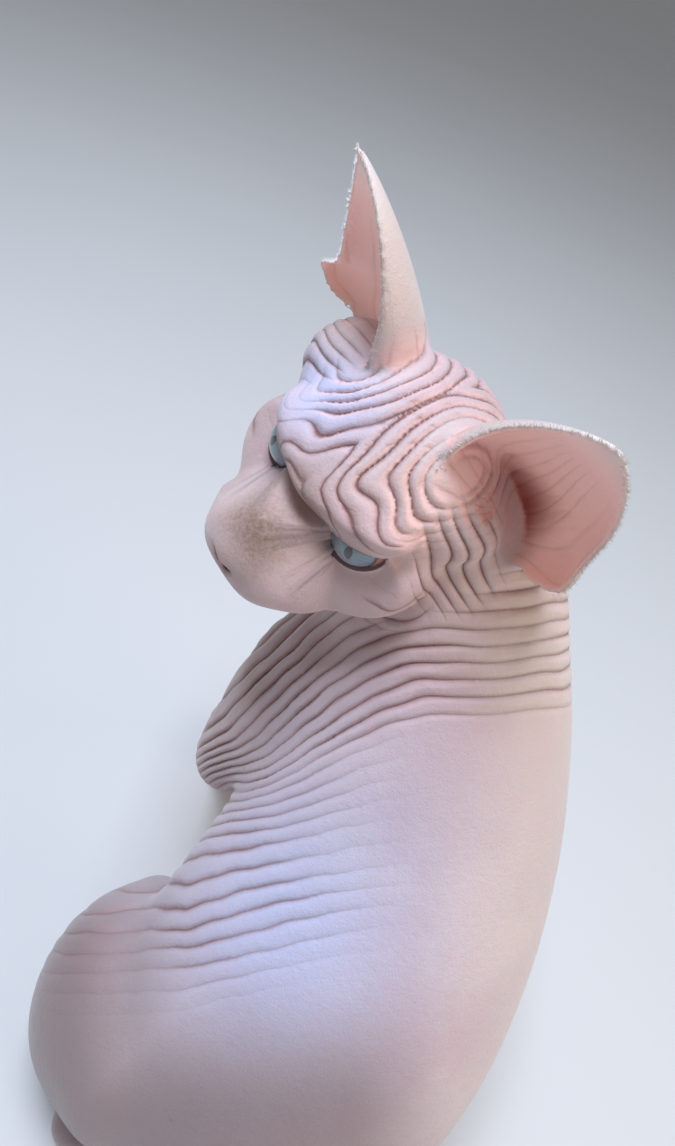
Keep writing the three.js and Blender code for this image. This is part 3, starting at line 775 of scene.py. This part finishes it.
for hand, family in ((-1, "other_ear"), (1, "ear")):
    u, v, cosine, radius = eye_place(h, hand)
    rimless_corner = 3 * ramp(-u, 7, 9)
    near_eye = (cosine > 0.05) & (radius < 15)
    lid_gap = np.where(near_eye, np.minimum(lid_gap, opening_gap(u, v) + rimless_corner), lid_gap)
    t, across, depth = ear_place(h, hand)
    # The ear's inner ridges are not in the geometry: this measure lets the material paint lines of shade
    # along them.
    turned = np.arctan2(across, -depth) * 3.2 + 0.5 * waves(h, 30, 14)
    families[family] = (turned, 0.55 * inner * (1 - ramp(t, 0.3, 0.75)) * (h[:, 0] * hand > 0))
marks = {"crease": np.clip(-fold / FOLD_FULL, 0, 1), "lid_gap": np.clip(lid_gap, -3, 12), "inner": inner,
         "canal": canal, "pale": pale, "nostril": nostril, "on_ear": on_ear, "ear_back": on_ear * (1 - inner),
         "patch": np.exp(-(hx / 12) ** 4 - ((hy + 15) / 11) ** 4) * ramp(hz, -17, -10),
         "nose": np.exp(-(hx / 5.2) ** 2 - ((hy + 30) / 3.6) ** 2 - ((hz + 14) / 5.5) ** 2),
         "lid": np.exp(-((eye_gap - 12.2) / 2.4) ** 2)}
for name, (family_phase, amount) in families.items():
    amount = amount if "ear" in name else amount * (1 - ramp(inner, 0.2, 0.6))
    marks[name + "_phase"], marks[name + "_amount"] = family_phase, amount
# A bluish painted sheen on the back, off the side that turns away, and on the brow.
side_on = ramp(-y, -60, 40)
marks["painted_sheen"] = np.maximum(photo_spot(*SHEEN_BACK) * (1 - near_head) * (1 - side_on),
                           photo_spot(*SHEEN_BROW) * near_head * ramp(hz, 0, 14))
# Painted shade on the haunch's left edge and on the lower back.
marks["dusk"] = ramp(py, *SHADE_ROWS) * np.maximum(1 - ramp(px, *SHADE_COLUMNS),
                                                  ramp(py, *LOIN_SHADE_ROWS) * (1 - ramp(px, *LOIN_SHADE_COLUMNS)))
# Painted warm light on the right of the neck and the body.
marks["painted_warm_light"] = ramp(px, *WARM_LIGHT_COLUMNS) * ramp(py, *WARM_LIGHT_ROWS)
for name, values in marks.items():
    layer = skin.data.attributes.new(name, "FLOAT", "POINT")
    layer.data.foreach_set("value", values.astype(np.float32))
print("marks:", {k: round(float(v.max()), 2) for k, v in marks.items()})

# %% [markdown]
# ## Fewer triangles
# The even mesh is finer than a smooth back needs. Collapsing the edges that change the shape least keeps the
# triangles where the folds are. A coarser remesh would lose the folds first. Then the points are carried to
# the frame's metres.

# %% Thin the mesh
MOST_TRIANGLES = 190_000
triangles = 2 * len(skin.data.polygons)
if triangles > MOST_TRIANGLES:
    thin = skin.modifiers.new("fewer triangles", "DECIMATE")
    thin.ratio = MOST_TRIANGLES / triangles
    bpy.context.view_layer.objects.active = skin
    bpy.ops.object.modifier_apply(modifier=thin.name)
write_points(skin.data, to_frame(read_points(skin.data)))
skin.data.polygons.foreach_set("use_smooth", np.ones(len(skin.data.polygons), bool))
print("triangles:", triangles, "->", len(skin.data.polygons))

# %% [markdown]
# ## Eyeballs
# An eyeball is a ball with the cornea's low dome in front. Rings round the line of sight let the iris, the
# slit pupil and the dark ring at the iris's edge follow the surface exactly, as marks on its points.

# %% Eyeballs
IRIS_RADIUS = 8.3
CORNEA_RISE, CORNEA_RADIUS, EYE_CLEARANCE = 0.75, 6.4, 0.15
EYE_ROWS, EYE_SIDES = 90, 96
eyes = []
for hand, name in ((1, "eye_left"), (-1, "eye_right")):
    sight, corner, lift = sight_of[hand]
    lean = np.linspace(0.004, math.pi - 0.004, EYE_ROWS)[:, None]
    turn = np.linspace(0, 2 * math.pi, EYE_SIDES, endpoint=False)[None, :]
    off = EYE_RADIUS * lean
    size = EYE_RADIUS - EYE_CLEARANCE + CORNEA_RISE * np.exp(-(off / CORNEA_RADIUS) ** 4)
    ring = (np.sin(lean) * np.cos(turn))[..., None] * corner
    ring = ring + (np.sin(lean) * np.sin(turn))[..., None] * lift + np.cos(lean)[..., None] * sight
    surface = from_head(EYE_CENTRE * (hand, 1, 1) + ring * size[..., None])
    eye = mesh_object(name + "_ball", to_frame(surface.reshape(-1, 3)), tube_faces(EYE_ROWS, EYE_SIDES, 0))
    eye.data.polygons.foreach_set("use_smooth", np.ones(len(eye.data.polygons), bool))
    for mark, values in {"off": off, "turn_x": off * np.cos(turn), "turn_y": off * np.sin(turn)}.items():
        layer = eye.data.attributes.new(mark, "FLOAT", "POINT")
        values = np.broadcast_to(values, (EYE_ROWS, EYE_SIDES))
        layer.data.foreach_set("value", values.astype(np.float32).ravel())
    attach(eye, "root")
    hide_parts(name)
    eyes.append(eye)
print("eyeballs:", [e.name for e in eyes])

# %% [markdown]
# ## Claws
# Drawn-in claws show only their points between the toe tips. Each is a small horn bent downwards: the same
# tube as a limb, along three stations in front of its toe.

# %% Claws
claws = []
for paw_name, paw in (("forepaw_left", FORE["left"][3]), ("forepaw_right", FORE["right"][3]),
                      ("hindpaw_left", HIND["left"]), ("hindpaw_right", HIND["right"])):
    for i, place in enumerate(TOES):
        tx, ty, tz = toe_at(paw, place)
        horn = limb([[tx, ty - 4.6, tz, 1.2, 1.3], [tx, ty - 8.4, tz + 0.3, 1.0, 1.2],
                     [tx, ty - 10.9, tz - 1.4, 0.35, 0.5]], 12, 12)
        node = f"{paw_name}_claw_{i + 1}"
        claw = mesh_object(node + "_horn", to_frame(horn.reshape(-1, 3)), tube_faces(*horn.shape[:2], 0))
        claw.data.polygons.foreach_set("use_smooth", np.ones(len(claw.data.polygons), bool))
        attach(claw, "root")
        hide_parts(node)
        claws.append(claw)
print("claws:", len(claws))

# %% [markdown]
# ## Down
# The breed isn't quite bare: the ear rims carry a short pale down. Particle hair can't leave Blender as a
# mesh, so each hair is a thin three-sided spike, leaning outwards and towards the ear's tip. Its patch of the
# bake map is a small square at its root. The finer down on the bridge of the nose is left to the material.

# %% Down on the ear rims


def hairs(roots, directions, lengths, thickness, spots, name):
    """Three-sided spikes: a triangle round each root, and a tip one length away. Each hair's four points
    share a patch three thousandths wide in the map, at the hair's own spot."""
    directions = unit(directions)
    side = unit(np.cross(directions, np.array([0.31, 0.77, 0.55])))
    other = np.cross(directions, side)
    turn = np.arange(3) * 2 * math.pi / 3
    base = (roots[:, None] + (side[:, None] * np.cos(turn)[None, :, None]
                              + other[:, None] * np.sin(turn)[None, :, None]) * thickness)
    tips = roots + directions * lengths[:, None]
    pts = np.concatenate([base, tips[:, None]], axis=1).reshape(-1, 3)
    start = np.arange(len(roots))[:, None, None] * 4
    tris = (np.array([[0, 1, 3], [1, 2, 3], [2, 0, 3], [2, 1, 0]])[None] + start).reshape(-1, 3)
    piece = mesh_object(name, to_frame(pts), tris)
    corner = np.array([[0, 0], [0.003, 0], [0.0015, 0.003], [0.0015, 0.0015]])
    uv = (spots[:, None] + corner[None]).reshape(-1, 2)[tris.ravel()]
    piece.data.uv_layers.new(name="OFBake").data.foreach_set("uv", uv.astype(np.float32).ravel())
    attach(piece, "root")
    return piece


def on_skin(p, near):
    """The nearest of the skin's points to each place, found block by block from squared distances."""
    found = [((block[:, None] - near[None]) ** 2).sum(-1).argmin(1) for block in np.array_split(p, 60)]
    return near[np.concatenate(found)]


ear_skin = np.empty(len(skin.data.vertices), np.float32)
skin.data.attributes["on_ear"].data.foreach_get("value", ear_skin)
ear_points = (read_points(skin.data) / MM - SHIFT)[ear_skin > 0.5]
print("points on the ears:", len(ear_points))
HAIRS, HAIR_THICKNESS, HAIR_LENGTHS = 2600, 0.05, (0.7, 1.7)
rng = np.random.RandomState(11)
roots, directions, lengths, spots = [], [], [], []
for hand in (-1, 1):
    grid = ear_surface(hand)
    rows, sides = grid.shape[:2]
    root, axis = ear_axes(hand)[:2]
    along = (rows - 1.01) * rng.uniform(0.12, 1.0, HAIRS) ** 0.75
    margin = np.where(rng.uniform(size=HAIRS) < 0.5, sides // 4, 3 * sides // 4)
    j = np.round(margin + rng.normal(0, 1.3, HAIRS)).astype(int) % sides
    i = along.astype(int)
    share = (along - i)[:, None]
    place = grid[i, j] * (1 - share) + grid[np.minimum(i + 1, rows - 1), j] * share
    up_ear = (1 + EAR_SUNK) * along / rows - EAR_SUNK
    centre = from_head(root + axis * (EAR_HEIGHT * up_ear)[:, None])
    away = unit(place - centre)
    place = on_skin(place, ear_points)
    roots.append(place - 0.15 * away)
    directions.append(away + 0.7 * (HEAD_TURN @ axis) + 0.35 * rng.normal(size=(HAIRS, 3)))
    lengths.append(rng.uniform(*HAIR_LENGTHS, HAIRS))
    spots.append(np.stack([0.02 + 0.22 * (hand + 1) + 0.4 * j / sides, 0.3 + 0.66 * along / rows], axis=1))
ear_down = hairs(np.concatenate(roots), np.concatenate(directions), np.concatenate(lengths),
                 HAIR_THICKNESS, np.concatenate(spots), "ear_down")
print("ear hairs:", len(ear_down.data.polygons) // 4)

# %% [markdown]
# ## Materials
# A wrapper lets a material be written as sums: a socket that knows plus, minus and times, and one method that
# makes any other node. What varies over the skin comes from the marks on its points and from noise in the
# object's own coordinates.

# %% Material tools


class Value:
    """A socket whose arithmetic adds Math nodes."""

    def __init__(self, build, socket):
        self.build, self.socket = build, socket

    def math(self, operation, other=None, flip=False):
        pair = [self] if other is None else ([other, self] if flip else [self, other])
        return self.build.node("ShaderNodeMath", {"operation": operation}, dict(enumerate(pair)))

    def __add__(self, other):
        return self.math("ADD", other)

    def __mul__(self, other):
        return self.math("MULTIPLY", other)

    def __sub__(self, other):
        return self.math("SUBTRACT", other)

    def __rsub__(self, other):
        return self.math("SUBTRACT", other, True)

    __radd__, __rmul__ = __add__, __mul__


class Finish:
    """A material under construction, with one method for its nodes."""

    def __init__(self, name):
        self.material = bpy.data.materials.new(name)
        self.material.use_nodes = True
        self.tree = self.material.node_tree
        self.shader = self.tree.nodes["Principled BSDF"]

    def node(self, kind, settings=None, sockets=None, out=0):
        """A node of a kind: settings first, then numbers, colours or links into its sockets."""
        made = self.tree.nodes.new(kind)
        for key, value in (settings or {}).items():
            setattr(made, key, value)
        for key, value in (sockets or {}).items():
            self.put(made.inputs[key], value)
        return Value(self, made.outputs[out])

    def put(self, socket, value):
        if isinstance(value, Value):
            self.tree.links.new(value.socket, socket)
        else:
            socket.default_value = value

    def mark(self, name):
        return self.node("ShaderNodeAttribute", {"attribute_name": name}, out=2)

    def noise(self, scale, detail=3.0, rough=0.5):
        where = self.node("ShaderNodeTexCoord", out=3)
        return self.node("ShaderNodeTexNoise", {}, {"Vector": where, "Scale": scale, "Detail": detail,
                                                   "Roughness": rough})

    def step(self, value, low, high):
        """0 below low, 1 above high, smooth between."""
        return self.node("ShaderNodeMapRange", {"interpolation_type": "SMOOTHSTEP"},
                         {"Value": value, "From Min": low, "From Max": high})

    def mix(self, share, one, two):
        """Colour one where share is 0, colour two where it is 1."""
        made = self.tree.nodes.new("ShaderNodeMix")
        made.data_type = "RGBA"
        self.put(made.inputs[0], share)
        for socket, color in ((made.inputs[6], one), (made.inputs[7], two)):
            self.put(socket, color if isinstance(color, Value) else (*color, 1.0))
        return Value(self, made.outputs[2])

    def bump(self, height, strength, distance):
        normal = self.node("ShaderNodeBump", {}, {"Height": height, "Strength": strength,
                                                  "Distance": distance})
        self.put(self.shader.inputs["Normal"], normal)

    def set(self, **values):
        for key, value in values.items():
            value = (*value, 1.0) if isinstance(value, tuple) and key == "Base_Color" else value
            self.put(self.shader.inputs[key.replace("_", " ")], value)


# %% [markdown]
# ## Skin
# Bare skin is uneven: paler and rosier blotches, bluish where veins lie under it, and paler tips on the ears.
# Shade is painted into the folds, the ear canals and the nostrils, a bluish painted sheen lies on the back
# and the brow, painted shade on the haunch and the lower back, painted warm light on the right side, and a
# painted glow inside the ears stands in for light coming through the thin skin. The colours are laid over
# each other from the largest region to the smallest. Light scatters under the surface, so the folds stay
# soft.
# region to the smallest. Light scatters under the surface, so the folds stay soft.

# %% Skin finish
PALE, ROSE, MAUVE = (0.70, 0.53, 0.50), (0.62, 0.41, 0.38), (0.56, 0.44, 0.48)
# The first colour is painted shade for the folds and the last is the ear canal's deeper red with painted
# shade; the middle one is the inner ear's pink.
FOLD_SHADE_ROSE, EAR_RED, CANAL_SHADE_RED = (0.36, 0.15, 0.125), (0.86, 0.56, 0.50), (0.34, 0.045, 0.035)
TAN, NOSE_PINK, RIM_DARK = (0.30, 0.185, 0.13), (0.55, 0.30, 0.27), (0.08, 0.04, 0.05)
# Painted light: a bluish painted sheen, a dusky painted shade, and a cream that is painted warm light on the
# right side and the paler skin of the ears' backs.
SHEEN_LAVENDER, SHADE_COLOR, CREAM_AND_WARM_LIGHT = (0.58, 0.62, 0.84), (0.27, 0.195, 0.19), (0.76, 0.63, 0.54)
# Painted shade: a dark line at the bottom of each fold, and near-black in the nostrils.
CREASE_SHADE, NOSTRIL_SHADE = (0.20, 0.085, 0.08), (0.035, 0.012, 0.012)
# The last colour is a painted glow for light coming through the thin ears.
EAR_TIP_WHITE, FRECKLE, EAR_PAINTED_GLOW = (0.85, 0.76, 0.72), (0.25, 0.14, 0.12), (0.70, 0.36, 0.30)
f = Finish("sphynx_skin")
crease_mark, inner_mark, pale_mark = f.mark("crease"), f.mark("inner"), f.mark("pale")
blotch = f.step(f.noise(22.0, 4.0, 0.55), 0.38, 0.66)
veins = f.step(f.noise(11.0, 2.0), 0.42, 0.62)
color = f.mix(blotch, PALE, ROSE)
color = f.mix(veins * 0.55, color, MAUVE)
color = f.mix(f.step(f.noise(260.0, 5.0, 0.7), 0.55, 0.75) * 0.22, color, ROSE)
# Painted bluish sheen on the back and the brow.
color = f.mix(f.mark("painted_sheen") * 0.8, color, SHEEN_LAVENDER)
# Painted shade on the haunch and the lower back.
color = f.mix(f.mark("dusk") * 0.85, color, SHADE_COLOR)
# Painted warm light on the right side, and the paler skin on the backs of the ears.
color = f.mix(f.mark("painted_warm_light") * 0.5 + f.mark("ear_back") * 0.6, color, CREAM_AND_WARM_LIGHT)
# Painted shade in each family of folds: a darker band in each valley and a thin dark line at its bottom.
valleys, lines = 0.0, 0.0
for family in families:
    wave = (f.mark(family + "_phase") * math.pi).math("SINE").math("ABSOLUTE")
    amount = f.mark(family + "_amount")
    valleys = f.step(wave, 0.75, 0.0) * amount + valleys
    lines = f.step(wave, 0.32, 0.04) * amount + lines
# Painted shade in the folds: the deepest creases, the valleys and the lines at their bottoms are darkened.
color = f.mix(f.step(crease_mark, 0.15, 1.0) * 0.55, color, FOLD_SHADE_ROSE)
color = f.mix(valleys * 0.35, color, FOLD_SHADE_ROSE)
color = f.mix(f.step(lines, 0.0, 1.0) * 0.75, color, CREASE_SHADE)
color = f.mix(f.mark("lid") * 0.35, color, ROSE)
color = f.mix(inner_mark * (0.5 + 0.3 * f.noise(90.0)), color, EAR_RED)
# Painted shade in the ear canal, over its deeper red.
color = f.mix(f.mark("canal"), color, CANAL_SHADE_RED)
color = f.mix(pale_mark * 0.6, color, EAR_TIP_WHITE)
down = f.step(f.noise(700.0, 4.0, 0.7), 0.35, 0.7)
color = f.mix(f.mark("patch") * (0.65 + 0.35 * down), color, TAN)
color = f.mix(f.mark("nose") * 0.8, color, NOSE_PINK)
# Painted shade: the nostrils are near-black where a shallow crease stands for the opening.
color = f.mix(f.step(f.mark("nostril"), 0.25, 0.7), color, NOSTRIL_SHADE)
lid_gap = f.mark("lid_gap")
color = f.mix(f.step(lid_gap, 3.5, 0.8) * 0.5, color, ROSE)
color = f.mix(f.step(lid_gap, 0.85, 0.35) * 0.9, color, RIM_DARK)
where = f.node("ShaderNodeTexCoord", out=3)
cell = f.node("ShaderNodeTexVoronoi", {}, {"Vector": where, "Scale": 62.0})
freckles = (1 - f.step(cell, 0.02, 0.06)) * f.step(f.noise(14.0), 0.55, 0.62)
color = f.mix(freckles * 0.5, color, FRECKLE)
grain = f.noise(1500.0, 4.0, 0.6) * 0.6 + f.noise(420.0, 4.0, 0.65) * 1.0 - valleys * 1.6 - lines * 1.2
f.set(Base_Color=color, Roughness=f.noise(160.0) * 0.18 + 0.44, Subsurface_Weight=0.22,
      Subsurface_Radius=(1.0, 0.42, 0.28), Subsurface_Scale=0.004, Specular_IOR_Level=0.38,
      Sheen_Weight=0.25, Sheen_Roughness=0.45)
f.bump(grain, 0.5, 0.0006)
# Painted glow: emission inside the ears stands in for light coming through the thin skin.
glow = f.mix(inner_mark * (1 - f.mark("canal")), (0, 0, 0), EAR_PAINTED_GLOW)
f.set(Emission_Color=glow, Emission_Strength=0.22)
skin.data.materials.clear()
skin.data.materials.append(f.material)
print("skin nodes:", len(f.tree.nodes))

# %% [markdown]
# ## Eyes, claws, down and floor
# The iris is grey-blue with pale fibres, which come from noise read along the direction from the pupil. The
# wet cornea is a clear coat. Horn, down and floor need only a little noise in their colour.

# %% Eye, claw and down finishes
IRIS_INNER, IRIS_OUTER, IRIS_FIBRE = (0.15, 0.22, 0.24), (0.09, 0.155, 0.24), (0.26, 0.35, 0.42)
IRIS_RING, EYE_CORNER, PUPIL = (0.012, 0.012, 0.018), (0.35, 0.16, 0.14), (0.003, 0.003, 0.004)
PUPIL_HALF_WIDTH, PUPIL_STRETCH = (1.1, 1.4), 0.32
f = Finish("cat_eye")
off, turn_x, turn_y = f.mark("off"), f.mark("turn_x"), f.mark("turn_y")
turned = f.node("ShaderNodeCombineXYZ", {}, {0: turn_x, 1: turn_y, 2: 0.0})
from_pupil = f.node("ShaderNodeVectorMath", {"operation": "NORMALIZE"}, {0: turned})
fibre = f.node("ShaderNodeTexNoise", {}, {"Vector": from_pupil, "Scale": 9.0, "Detail": 6.0,
                                        "Roughness": 0.7})
iris = f.mix(f.step(off, 2.0, 7.5), IRIS_INNER, IRIS_OUTER)
iris = f.mix(f.step(fibre, 0.35, 0.7) * 0.55, iris, IRIS_FIBRE)
slit = (turn_x * turn_x + turn_y * turn_y * PUPIL_STRETCH).math("SQRT")
eye_color = f.mix(f.step(off, IRIS_RADIUS - 0.9, IRIS_RADIUS), iris, IRIS_RING)
eye_color = f.mix(f.step(off, IRIS_RADIUS + 0.2, IRIS_RADIUS + 1.2), eye_color, EYE_CORNER)
eye_color = f.mix(1 - f.step(slit, *PUPIL_HALF_WIDTH), eye_color, PUPIL)
f.set(Base_Color=eye_color, Roughness=0.12, Specular_IOR_Level=0.6, Coat_Weight=1.0, Coat_Roughness=0.03)
for eye in eyes:
    eye.data.materials.append(f.material)

f = Finish("claw_horn")
f.set(Base_Color=f.mix(f.noise(900.0), (0.62, 0.50, 0.42), (0.80, 0.72, 0.64)), Roughness=0.32,
      Subsurface_Weight=0.2, Subsurface_Radius=(1.0, 0.7, 0.5), Subsurface_Scale=0.001)
for claw in claws:
    claw.data.materials.append(f.material)

f = Finish("pale_down")
f.set(Base_Color=f.mix(f.noise(500.0), (0.80, 0.72, 0.68), (0.92, 0.90, 0.88)), Roughness=0.6,
      Sheen_Weight=0.3)
ear_down.data.materials.append(f.material)

f = Finish("pale_floor")
f.set(Base_Color=f.mix(f.noise(3.0), (0.70, 0.70, 0.69), (0.74, 0.74, 0.73)), Roughness=0.7)
floor.data.materials.append(f.material)
print("finishes:", [m.name for m in bpy.data.materials if m.users])

# %% [markdown]
# ## Hand over
# The skin stands in for every node of flesh, so the frame hides them all and nothing shows twice. The eyes,
# claws and down were handed over where they were made.

# %% Hand over
flesh = [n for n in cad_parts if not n.startswith("eye_") and "_claw_" not in n]
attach(skin, "root")
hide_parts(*flesh)
